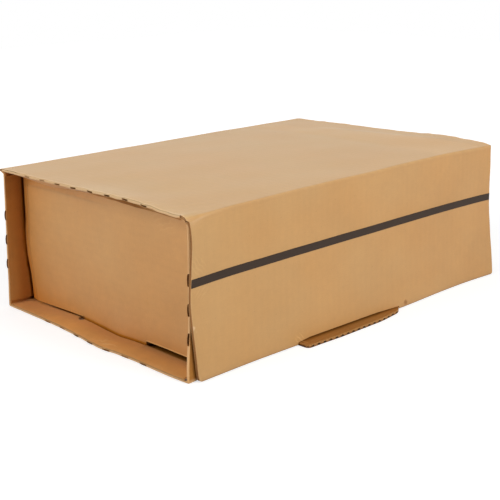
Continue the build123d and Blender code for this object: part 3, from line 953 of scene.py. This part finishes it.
def placed(group, inputs):
    # a group placed in the tree of its inputs
    return node(treeOf(*inputs.values()), "ShaderNodeGroup", inputs, node_tree=group).outputs


def newMaterial(name):
    material = bpy.data.materials.new(name)
    material.use_nodes = True
    tree = material.node_tree
    return material, tree, tree.nodes["Principled BSDF"]


kraft = {
    "colour": (0.600, 0.318, 0.104, 1),
    "yellower": (0.600, 0.340, 0.125, 1),
    "pale": (0.720, 0.480, 0.260, 1),
    "core": (0.260, 0.130, 0.050, 1),
    # painted shade: the dark in small holes, in the hook's end and in the flutes' open ends
    "gap": (0.050, 0.020, 0.008, 1),
    "side": (0.360, 0.190, 0.080, 1),
    # painted shade of small dents and creases
    "dentShade": (0.270, 0.100, 0.010, 1),
    "crumple": (0.760, 0.470, 0.190, 1),
    "roughness": 0.5,
    "gloss": 0.5,
    "sheen": 0.25,
    "sheenRoughness": 0.4,
    "sheenTint": (1.0, 0.90, 0.72, 1),
    "edgeRoughness": 0.85,
    "edgeGloss": 0.2,
    "darkestTone": -0.95,
    "shadedTone": -0.3,  # where the sheet's tone, mostly painted shade there, is darker than this, it has hardly any gloss or sheen
    "shadedGloss": 0.1,
    "shadedSheen": 0.02,
    "worn": 0.4,
    "clouds": 0.15,
    "warmClouds": 1.1,  # how much more the clouds show for each unit of warmth
    "fibres": 0.09,
    "stripes": 0.008,
    "bump": (0.35, 0.00025),  # strength, and distance in metres
    "edgeBump": (0.5, 0.0003),
    # scales across x and y of the two directions of fibres and of the flecks, per millimetre
    "longFibre": (0.16, 1.1, 1.0),
    "crossFibre": (1.3, 0.22, 1.0),
    "fleckScale": (0.20, 0.13, 1.0),
    "fleckSize": 0.075,
    "fleckTone": 0.10,
    "stripeHeight": 0.16,
    "fibreHeight": 0.5,
    "spots": {  # centre, radius, strength and colour
        "edgeCrumple": ((-175.7, -119.5, 41.0), 1.1, 0.8, "pale"),
        "edgeScuff": ((-172.9, -119.8, 37.9), 0.5, 0.35, "pale"),
        # painted shade of a small dent by the tab's end and of a crease at its start
        "farDent": ((54.3, -122.0, 3.6), 1.5, 0.85, "dentShade"),
        "tabCrease": ((-66.5, -121.0, 3.4), 0.7, 0.8, "dentShade"),
        # painted shade: dark spots for a small hole at the fold's foot and for the hook's end
        "foldDot": ((-177.4, -112.5, 2.5), 1.0, 1.0, "gap"),
        "hookEnd": ((-160.3, 36.1, 4.9), 1.6, 0.95, "gap"),
    },
    "crumples": {  # centre, radius, direction across the wrinkles and strength
        "floorRim": ((-180.0, -23.0, 4.0), 5.0, (0.55, 0.1, 0.0), 0.45),
        "floorRimFar": ((-175.0, -12.0, 4.0), 3.5, (0.5, 0.2, 0.0), 0.3),
        "stripEnd": ((-171.0, -119.0, 84.0), 4.5, (0.8, 0.0, 0.7), 0.2),
        "belowStrip": ((-168.0, -119.0, 66.0), 4.0, (0.7, 0.0, -0.7), 0.13),
        "panelTop": ((-157.5, -70.0, 107.0), 8.0, (0.0, 0.3, 0.7), 0.14),
        "topRim": ((-174.0, -74.0, 119.5), 5.0, (0.7, 0.4, 0.0), 0.4),
        "topCorner": ((-160.0, -98.0, 119.5), 12.0, (0.12, 0.30, 0.0), 0.12),
        "tabEnd": ((-71.0, -121.5, 5.0), 3.0, (0.8, 0.0, 0.8), 0.5),
    },
}
white = (1, 1, 1, 1)
millimetres = (1000.0, 1000.0, 1000.0)


def kraftGroup():
    # kraft liner: clouds, long and cross fibres, flecks, and the flutes' stripes showing through
    group, given, result = newGroup(
        "kraftLiner",
        {"Place": (0, 0, 0), "Colour": white, "Patches": white,
         "Clouds": 0.1, "Fibres": 0.1, "Stripes": 0.03},
        {"Colour": white, "Height": 0.0})
    place, clouds = given["Place"], given["Clouds"]
    large, small = minus(noise(place, 0.018, 4.0, 0.55), 0.5), minus(noise(place, 0.11, 3.0, 0.6), 0.5)
    along, cross = (noise(scaled(place, kraft[name]), 1.0, 3.0, 0.6) for name in ("longFibre", "crossFibre"))
    fibre = minus(plus(along, cross), 1.0)
    flecks = node(group, "ShaderNodeTexVoronoi", {"Vector": scaled(place, kraft["fleckScale"]), "Scale": 1.0})
    fleck = maths("LESS_THAN", flecks.outputs["Distance"], kraft["fleckSize"])
    phase = plus(times(alongX(place), 2 * pi / flute["pitch"]), times(noise(place, 0.03, 2.0), 3.0))
    stripe = times(maths("SINE", phase), times(noise(place, 0.04, 2.0), 1.6))
    tone = plus(times(large, clouds), times(small, times(clouds, 0.5)))
    tone = plus(plus(tone, times(fibre, given["Fibres"])), times(stripe, given["Stripes"]))
    bright = plus(minus(tone, times(fleck, kraft["fleckTone"])), 1.0)
    patch = times(minus(noise(place, 0.013, 2.0), 0.35), 3.0, clamp=True)
    colour = mixColour(patch, given["Colour"], given["Patches"])
    fill(result["Colour"], mixColour(1.0, colour, combined(bright, bright, bright), "MULTIPLY"))
    fill(result["Height"], plus(times(stripe, kraft["stripeHeight"]), times(fibre, kraft["fibreHeight"])))
    return group


def wearGroup():
    # scuffing that follows the folds: the painted amount, broken up by fine and coarse noise
    wear = {"Place": (0, 0, 0), "Amount": 0.0, "Reach": 1.0}
    group, given, result = newGroup("foldWear", wear, {"Mask": 0.0})
    coarse, fine = noise(given["Place"], 0.14, 4.0, 0.65), noise(given["Place"], 0.9, 3.0, 0.6)
    broken = plus(times(coarse, 0.9), times(fine, 0.5))
    mask = minus(times(given["Amount"], given["Reach"]), minus(1.15, broken))
    fill(result["Mask"], times(mask, 2.2, clamp=True))
    return group


def spotGroup():
    # soft ragged spot: one within the radius of the centre, falling to nought at twice the radius
    spot = {"Place": (0, 0, 0), "Centre": (0, 0, 0), "Radius": 1.0}
    group, given, result = newGroup("softSpot", spot, {"Mask": 0.0})
    away = node(group, "ShaderNodeVectorMath", {0: given["Place"], 1: given["Centre"]}, operation="DISTANCE")
    ragged = times(noise(given["Place"], 0.6, 3.0), 1.4)
    reach = maths("DIVIDE", away.outputs["Value"], given["Radius"])
    fill(result["Mask"], minus(plus(1.3, ragged), reach, clamp=True))
    return group


def crumpleGroup(spot):
    # wrinkles in a soft spot: bright where the wandering wave along the given direction passes nought
    crumple = {"Place": (0, 0, 0), "Centre": (0, 0, 0), "Radius": 1.0, "Across": (1, 0, 0)}
    group, given, result = newGroup("crumples", crumple, {"Mask": 0.0})
    place = given["Place"]
    along = node(group, "ShaderNodeVectorMath", {0: place, 1: given["Across"]}, operation="DOT_PRODUCT")
    phase = plus(along.outputs["Value"], times(noise(place, 0.16, 2.0), 5.0))
    ridge = minus(1.15, times(maths("ABSOLUTE", maths("SINE", phase)), 1.6), clamp=True)
    inSpot = placed(spot, {name: given[name] for name in ("Place", "Centre", "Radius")})["Mask"]
    fill(result["Mask"], times(ridge, inSpot))
    return group


def sheetPlace(tree):
    # place on the flat sheet, in millimetres
    return scaled(node(tree, "ShaderNodeUVMap", uv_map="sheetPlace").outputs[0], millimetres)


def attribute(tree, name):
    return node(tree, "ShaderNodeAttribute", attribute_name=name).outputs["Fac"]


def toned(colour):
    # the mesh's tone, which holds painted shade and painted light besides some of the board's own colour,
    # brightens or darkens a colour, and its warmth, mostly the painted tint of shade and bounced light, takes
    # away green and more of the blue
    bright, warmth = plus(attribute(colour.id_data, "tone"), 1.0), attribute(colour.id_data, "warmth")
    green = times(bright, minus(1.0, warmth))
    blue = times(bright, maths("MAXIMUM", minus(1.0, times(warmth, 2.3)), 0.0))
    return mixColour(1.0, colour, combined(bright, green, blue), "MULTIPLY")


def linerMaterial(name, gloss, sheen, groups):
    # the board's two faces: kraft liner, worn at its folds, with its spots and wrinkles, and the painted
    # shade and painted light that the mesh's tone and warmth carry; some spots are painted shade too
    material, tree, shader = newMaterial(name)
    place = sheetPlace(tree)
    clouds = plus(times(attribute(tree, "warmth"), kraft["warmClouds"]), kraft["clouds"])
    body = placed(groups["liner"], {"Place": place, "Colour": kraft["colour"], "Patches": kraft["yellower"],
                                    "Clouds": clouds, "Fibres": kraft["fibres"],
                                    "Stripes": kraft["stripes"]})
    amount = attribute(tree, "foldWear")
    worn = placed(groups["wear"], {"Place": place, "Amount": amount, "Reach": 1.0})["Mask"]
    colour = toned(mixColour(times(worn, kraft["worn"]), body["Colour"], kraft["pale"]))
    where = scaled(node(tree, "ShaderNodeTexCoord").outputs["Object"], millimetres)
    for centre, radius, strength, shade in kraft["spots"].values():
        mask = placed(groups["spot"], {"Place": where, "Centre": centre, "Radius": radius})["Mask"]
        colour = mixColour(times(mask, strength), colour, kraft[shade])
    height = body["Height"]
    for centre, radius, across, strength in kraft["crumples"].values():
        spot = {"Place": where, "Centre": centre, "Radius": radius, "Across": across}
        mask = placed(groups["crumple"], spot)["Mask"]
        colour = mixColour(times(mask, strength), colour, kraft["crumple"])
        height = plus(height, times(mask, 3.0 * strength))
    fillAll(shader, {"Base Color": colour, "Roughness": kraft["roughness"], "Specular IOR Level": gloss,
                     "Sheen Weight": sheen, "Sheen Roughness": kraft["sheenRoughness"],
                     "Sheen Tint": kraft["sheenTint"], "Normal": bumped(height, *kraft["bump"])})
    return material


def sideEdgeMaterial(liner):
    # raw edge along the flutes: the side of one crushed flute between the two liners
    material, tree, shader = newMaterial("crushedBoardEdge")
    body = placed(liner, {"Place": sheetPlace(tree), "Colour": kraft["side"], "Patches": kraft["side"],
                          "Clouds": 0.5, "Fibres": 0.5, "Stripes": 0.0})
    fillAll(shader, {"Base Color": toned(body["Colour"]), "Roughness": kraft["edgeRoughness"],
                     "Specular IOR Level": kraft["edgeGloss"],
                     "Normal": bumped(body["Height"], *kraft["edgeBump"])})
    return material


def edgeMaterial(liner):
    # raw edge across the flutes: two liners with the wavy medium between them and painted shade in the open
    # flutes
    material, tree, shader = newMaterial("rawBoardEdge")
    place, half = sheetPlace(tree), sheet["board"] / 2
    body = placed(liner, {"Place": place, "Colour": kraft["colour"], "Patches": kraft["colour"],
                          "Clouds": 0.16, "Fibres": 0.2, "Stripes": 0.0})
    depth = maths("MODULO", attribute(tree, "plyDepth"), sheet["board"])
    phase = plus(times(alongX(place), 2 * pi / flute["pitch"]), times(noise(place, 0.09, 2.0), 7.0))
    wave = plus(times(maths("SINE", phase), 0.8), half)
    onWave = maths("LESS_THAN", maths("ABSOLUTE", minus(depth, wave)), flute["liner"])
    onLiner = maths("GREATER_THAN", maths("ABSOLUTE", minus(depth, half)), half - flute["liner"] - 0.02)
    colour = mixColour(onLiner, mixColour(onWave, kraft["gap"], kraft["core"]), body["Colour"])
    fillAll(shader, {"Base Color": colour, "Roughness": kraft["edgeRoughness"]})
    return material


def stripMaterial():
    # dark tape: filaments along it, and scuffs where the board's tone shows
    material, tree, shader = newMaterial("darkTearTape")
    place = sheetPlace(tree)
    filament = noise(scaled(place, strip["filamentScale"]), 1.0, 2.0, 0.5)
    scuff = noise(scaled(place, strip["scuffScale"]), 1.0, 4.0, 0.7)
    worn = times(times(minus(scuff, 0.60), 3.0, clamp=True), strip["scuffShare"])
    colour = mixColour(worn, mixColour(filament, strip["dark"], strip["light"]), strip["scuff"])
    fillAll(shader, {"Base Color": colour, "Roughness": strip["roughness"],
                     "Specular IOR Level": strip["gloss"], "Normal": bumped(filament, *strip["bump"])})
    return material


def joinShells(name, shells, materials):
    # one mesh from several grids, in metres about the box's middle, its doubles merged and its faces outwards
    starts = np.cumsum([0] + [shell["points"].size // 3 for shell in shells])
    points = np.concatenate([shell["points"].reshape(-1, 3) for shell in shells])
    points = (points - [sheet["length"] / 2, sheet["width"] / 2, 0]) / 1000.0
    points = np.clip(points, *(np.array(corner) for corner in cadBox))
    faces = np.concatenate([shell["faces"] + start for shell, start in zip(shells, starts)])
    slot = np.concatenate([np.broadcast_to(shell["slot"], len(shell["faces"])) for shell in shells])
    values = {key: np.concatenate([np.broadcast_to(shell[key], shell["points"].shape[:-1]).ravel()
                                   for shell in shells])
              for key in ("u", "v", "plyDepth", "foldWear", "tone", "warmth")}
    values["tone"] = np.maximum(values["tone"], kraft["darkestTone"])
    # faces in deep painted shade take the shaded copy of the liner
    isShaded = (slot == 0) & (values["tone"][faces].mean(1) < kraft["shadedTone"])
    slot = np.where(isShaded, 3, slot)

    mesh = bpy.data.meshes.new(name)
    mesh.vertices.add(len(points))
    mesh.vertices.foreach_set("co", points.ravel())
    mesh.loops.add(faces.size)
    mesh.loops.foreach_set("vertex_index", faces.ravel().astype(np.int32))
    mesh.polygons.add(len(faces))
    mesh.polygons.foreach_set("loop_start", np.arange(0, faces.size, 4, dtype=np.int32))
    mesh.polygons.foreach_set("loop_total", np.full(len(faces), 4, np.int32))
    mesh.polygons.foreach_set("material_index", slot.astype(np.int32))
    mesh.update(calc_edges=True)
    uv = np.stack([values.pop("u"), values.pop("v")], -1) / 1000.0
    mesh.uv_layers.new(name="sheetPlace").data.foreach_set("uv", uv[faces.ravel()].ravel())
    for key, amounts in values.items():
        mesh.attributes.new(key, "FLOAT", "POINT").data.foreach_set("value", amounts)
    shape = bmesh.new()
    shape.from_mesh(mesh)
    bmesh.ops.remove_doubles(shape, verts=shape.verts, dist=2e-6)
    bmesh.ops.dissolve_degenerate(shape, edges=shape.edges, dist=1e-6)
    bmesh.ops.recalc_face_normals(shape, faces=shape.faces)
    shape.to_mesh(mesh)
    shape.free()
    mesh.polygons.foreach_set("use_smooth", np.ones(len(mesh.polygons), bool))
    mesh.set_sharp_from_angle(angle=radians(36))
    for material in materials:
        mesh.materials.append(material)
    piece = bpy.data.objects.new(name, mesh)
    bpy.context.scene.collection.objects.link(piece)
    print(name, len(mesh.polygons), "faces")
    return piece


groups = {"liner": kraftGroup(), "wear": wearGroup(), "spot": spotGroup()}
groups["crumple"] = crumpleGroup(groups["spot"])
boardMaterials = [
    linerMaterial("kraftBoard", kraft["gloss"], kraft["sheen"], groups),
    sideEdgeMaterial(groups["liner"]),
    edgeMaterial(groups["liner"]),
    # a shaded copy of the liner for faces in painted shade, with hardly any gloss or sheen
    linerMaterial("shadedBoard", kraft["shadedGloss"], kraft["shadedSheen"], groups),
]
print("materials made")

shells = [
    makeWrap(),
    makePanel(True),
    makePanel(False),
    tabLayer(flute["crushed"], sheet["board"], 200),
    tabLayer(0.0, flute["liner"], 40, isUnder=True),
    tabLayer(flute["liner"], flute["crushed"], 210, arch=flute["arch"]),
]
foldedBoard = joinShells("foldedBoard", shells, boardMaterials)
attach(foldedBoard, "root")
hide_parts("folded_board")

tearStrip = joinShells("tearStrip", [makeStrip()], [stripMaterial()])
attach(tearStrip, "root")
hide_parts("tear_strip")
print("board and strip made")

studio = {
    "floorHalf": 2.2,
    "floorLevel": -0.0002,
    "floorColour": (0.50, 0.50, 0.50, 1),
    "floorGlow": 0.68,  # near the box
    "farGlow": 1.0,
    "glowReach": (0.3, 1.1),
    "worldStrength": 0.16,
    "lampTarget": (0, 0, 0.05),
    "lamps": {  # place, size and power
        "leftLamp": ((-1.45, 0.22, 0.62), 1.3, 15.0),
        "frontLamp": ((0.22, -1.65, 0.80), 1.0, 23.6),
        "topLamp": ((0.10, 0.30, 1.60), 1.2, 5.0),
    },
}


def seenDirectly(tree):
    # one for rays from the camera and for reflections
    path = node(tree, "ShaderNodeLightPath").outputs
    return maths("MAXIMUM", path["Is Camera Ray"], path["Is Glossy Ray"])


def makeFloor():
    # a wide pale plane just under the box, which keeps its shadow and reads white to the camera
    mesh = bpy.data.meshes.new("studioFloor")
    half, level = studio["floorHalf"], studio["floorLevel"]
    corners = [(-half, -half, level), (half, -half, level), (half, half, level), (-half, half, level)]
    mesh.from_pydata(corners, [], [(0, 1, 2, 3)])
    floor = bpy.data.objects.new("studioFloor", mesh)
    bpy.context.scene.collection.objects.link(floor)
    material, tree, shader = newMaterial("paleFloor")
    place = node(tree, "ShaderNodeTexCoord").outputs["Object"]
    away = node(tree, "ShaderNodeVectorMath", {0: place}, operation="LENGTH").outputs["Value"]
    near, far = studio["glowReach"]
    glow = node(tree, "ShaderNodeMapRange", {"Value": away, "From Min": near, "From Max": far,
                                             "To Min": studio["floorGlow"], "To Max": studio["farGlow"]})
    fillAll(shader, {"Base Color": studio["floorColour"], "Roughness": 0.9, "Specular IOR Level": 0.0,
                     "Emission Color": white,
                     "Emission Strength": times(seenDirectly(tree), glow.outputs[0])})
    mesh.materials.append(material)


def makeLamp(name, place, size, power):
    # a square area lamp that faces the box
    lamp = bpy.data.lights.new(name, "AREA")
    lamp.size, lamp.energy = size, power
    holder = bpy.data.objects.new(name, lamp)
    holder.location = place
    way = Vector(studio["lampTarget"]) - Vector(place)
    holder.rotation_euler = way.to_track_quat("-Z", "Y").to_euler()
    bpy.context.scene.collection.objects.link(holder)


def makeWorld():
    # an even white sky, plain white where the camera looks past the floor
    world = bpy.data.worlds.new("studio")
    world.use_nodes = True
    tree, strength = world.node_tree, studio["worldStrength"]
    fillAll(tree.nodes["Background"],
            {"Color": white, "Strength": plus(strength, times(seenDirectly(tree), 1 - strength))})
    bpy.context.scene.world = world


photoCamera = {
    "azimuth": -43.83,
    "elevation": 16.23,
    "roll": -0.70,
    "lens": 74.77,
    "place": (-0.60609, -0.62389, 0.28906),
}


def makeCamera():
    # the camera's axes from its azimuth, elevation and roll
    a, e, roll = (radians(photoCamera[name]) for name in ("azimuth", "elevation", "roll"))
    back = Vector((sin(a) * cos(e), -cos(a) * cos(e), sin(e)))
    right = Vector((cos(a), sin(a), 0))
    up = back.cross(right)
    turnedRight = cos(roll) * right + sin(roll) * up
    turnedUp = cos(roll) * up - sin(roll) * right
    data = bpy.data.cameras.new("photoCamera")
    data.sensor_width, data.lens = 36.0, photoCamera["lens"]
    data.clip_start, data.clip_end = 0.05, 50.0
    camera = bpy.data.objects.new("photoCamera", data)
    axes = zip(turnedRight, turnedUp, back, photoCamera["place"])
    camera.matrix_world = Matrix([*axes, (0, 0, 0, 1)])
    bpy.context.scene.collection.objects.link(camera)
    bpy.context.scene.camera = camera


makeFloor()
makeWorld()
for lampName, (place, size, power) in studio["lamps"].items():
    makeLamp(lampName, place, size, power)
makeCamera()
bpy.context.scene.view_settings.view_transform = "Standard"
print("studio made")
